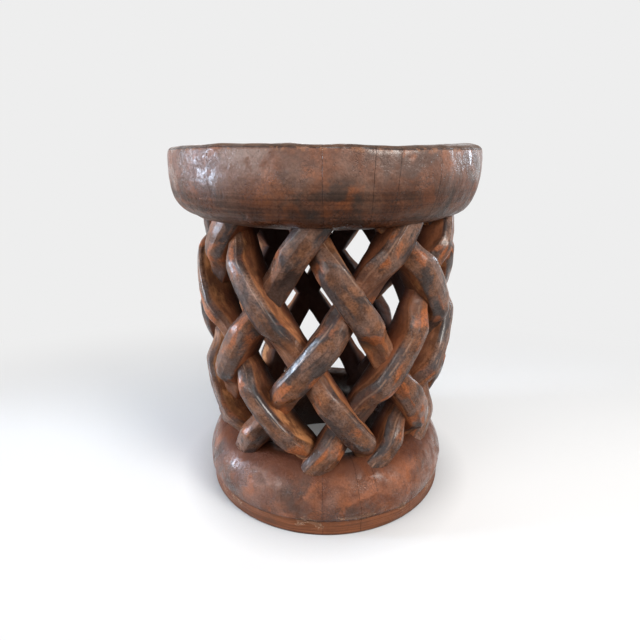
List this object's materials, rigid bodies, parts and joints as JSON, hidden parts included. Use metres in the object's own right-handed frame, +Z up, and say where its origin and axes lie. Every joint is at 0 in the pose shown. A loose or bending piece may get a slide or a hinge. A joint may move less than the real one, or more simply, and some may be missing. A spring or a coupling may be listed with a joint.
{
  "type": "carved stool",
  "caption": "Round wooden stool with a thick dished seat on a barrel of interlaced bands that stands on a fat open ring.",
  "frame": {"origin": "on the floor, at the middle of the base ring's underside as seen from the seat's axis", "axes": "+Z up through the seat's middle, -Y towards the side that the picture shows, +X to the picture's right"},
  "size_m": [0.38, 0.38, 0.45],
  "materials": {
    "seat_wood": "dark oiled hardwood with a worn satin patina",
    "base_wood": "dark oiled hardwood with a worn satin patina, redder than the seat",
    "right_band_wood": "dark oiled hardwood, polished on the outer faces and bare on the sides",
    "left_band_wood": "dark oiled hardwood, polished on the outer faces and bare on the sides"
  },
  "bodies": {
    "root": {"seat": "seat_wood", "base_ring": "base_wood", "right_leaning_band_01": "right_band_wood", "right_leaning_band_02": "right_band_wood", "right_leaning_band_03": "right_band_wood", "right_leaning_band_04": "right_band_wood", "right_leaning_band_05": "right_band_wood", "right_leaning_band_06": "right_band_wood", "right_leaning_band_07": "right_band_wood", "right_leaning_band_08": "right_band_wood", "right_leaning_band_09": "right_band_wood", "left_leaning_band_01": "left_band_wood", "left_leaning_band_02": "left_band_wood", "left_leaning_band_03": "left_band_wood", "left_leaning_band_04": "left_band_wood", "left_leaning_band_05": "left_band_wood", "left_leaning_band_06": "left_band_wood", "left_leaning_band_07": "left_band_wood", "left_leaning_band_08": "left_band_wood", "left_leaning_band_09": "left_band_wood"}
  },
  "joints": []
}
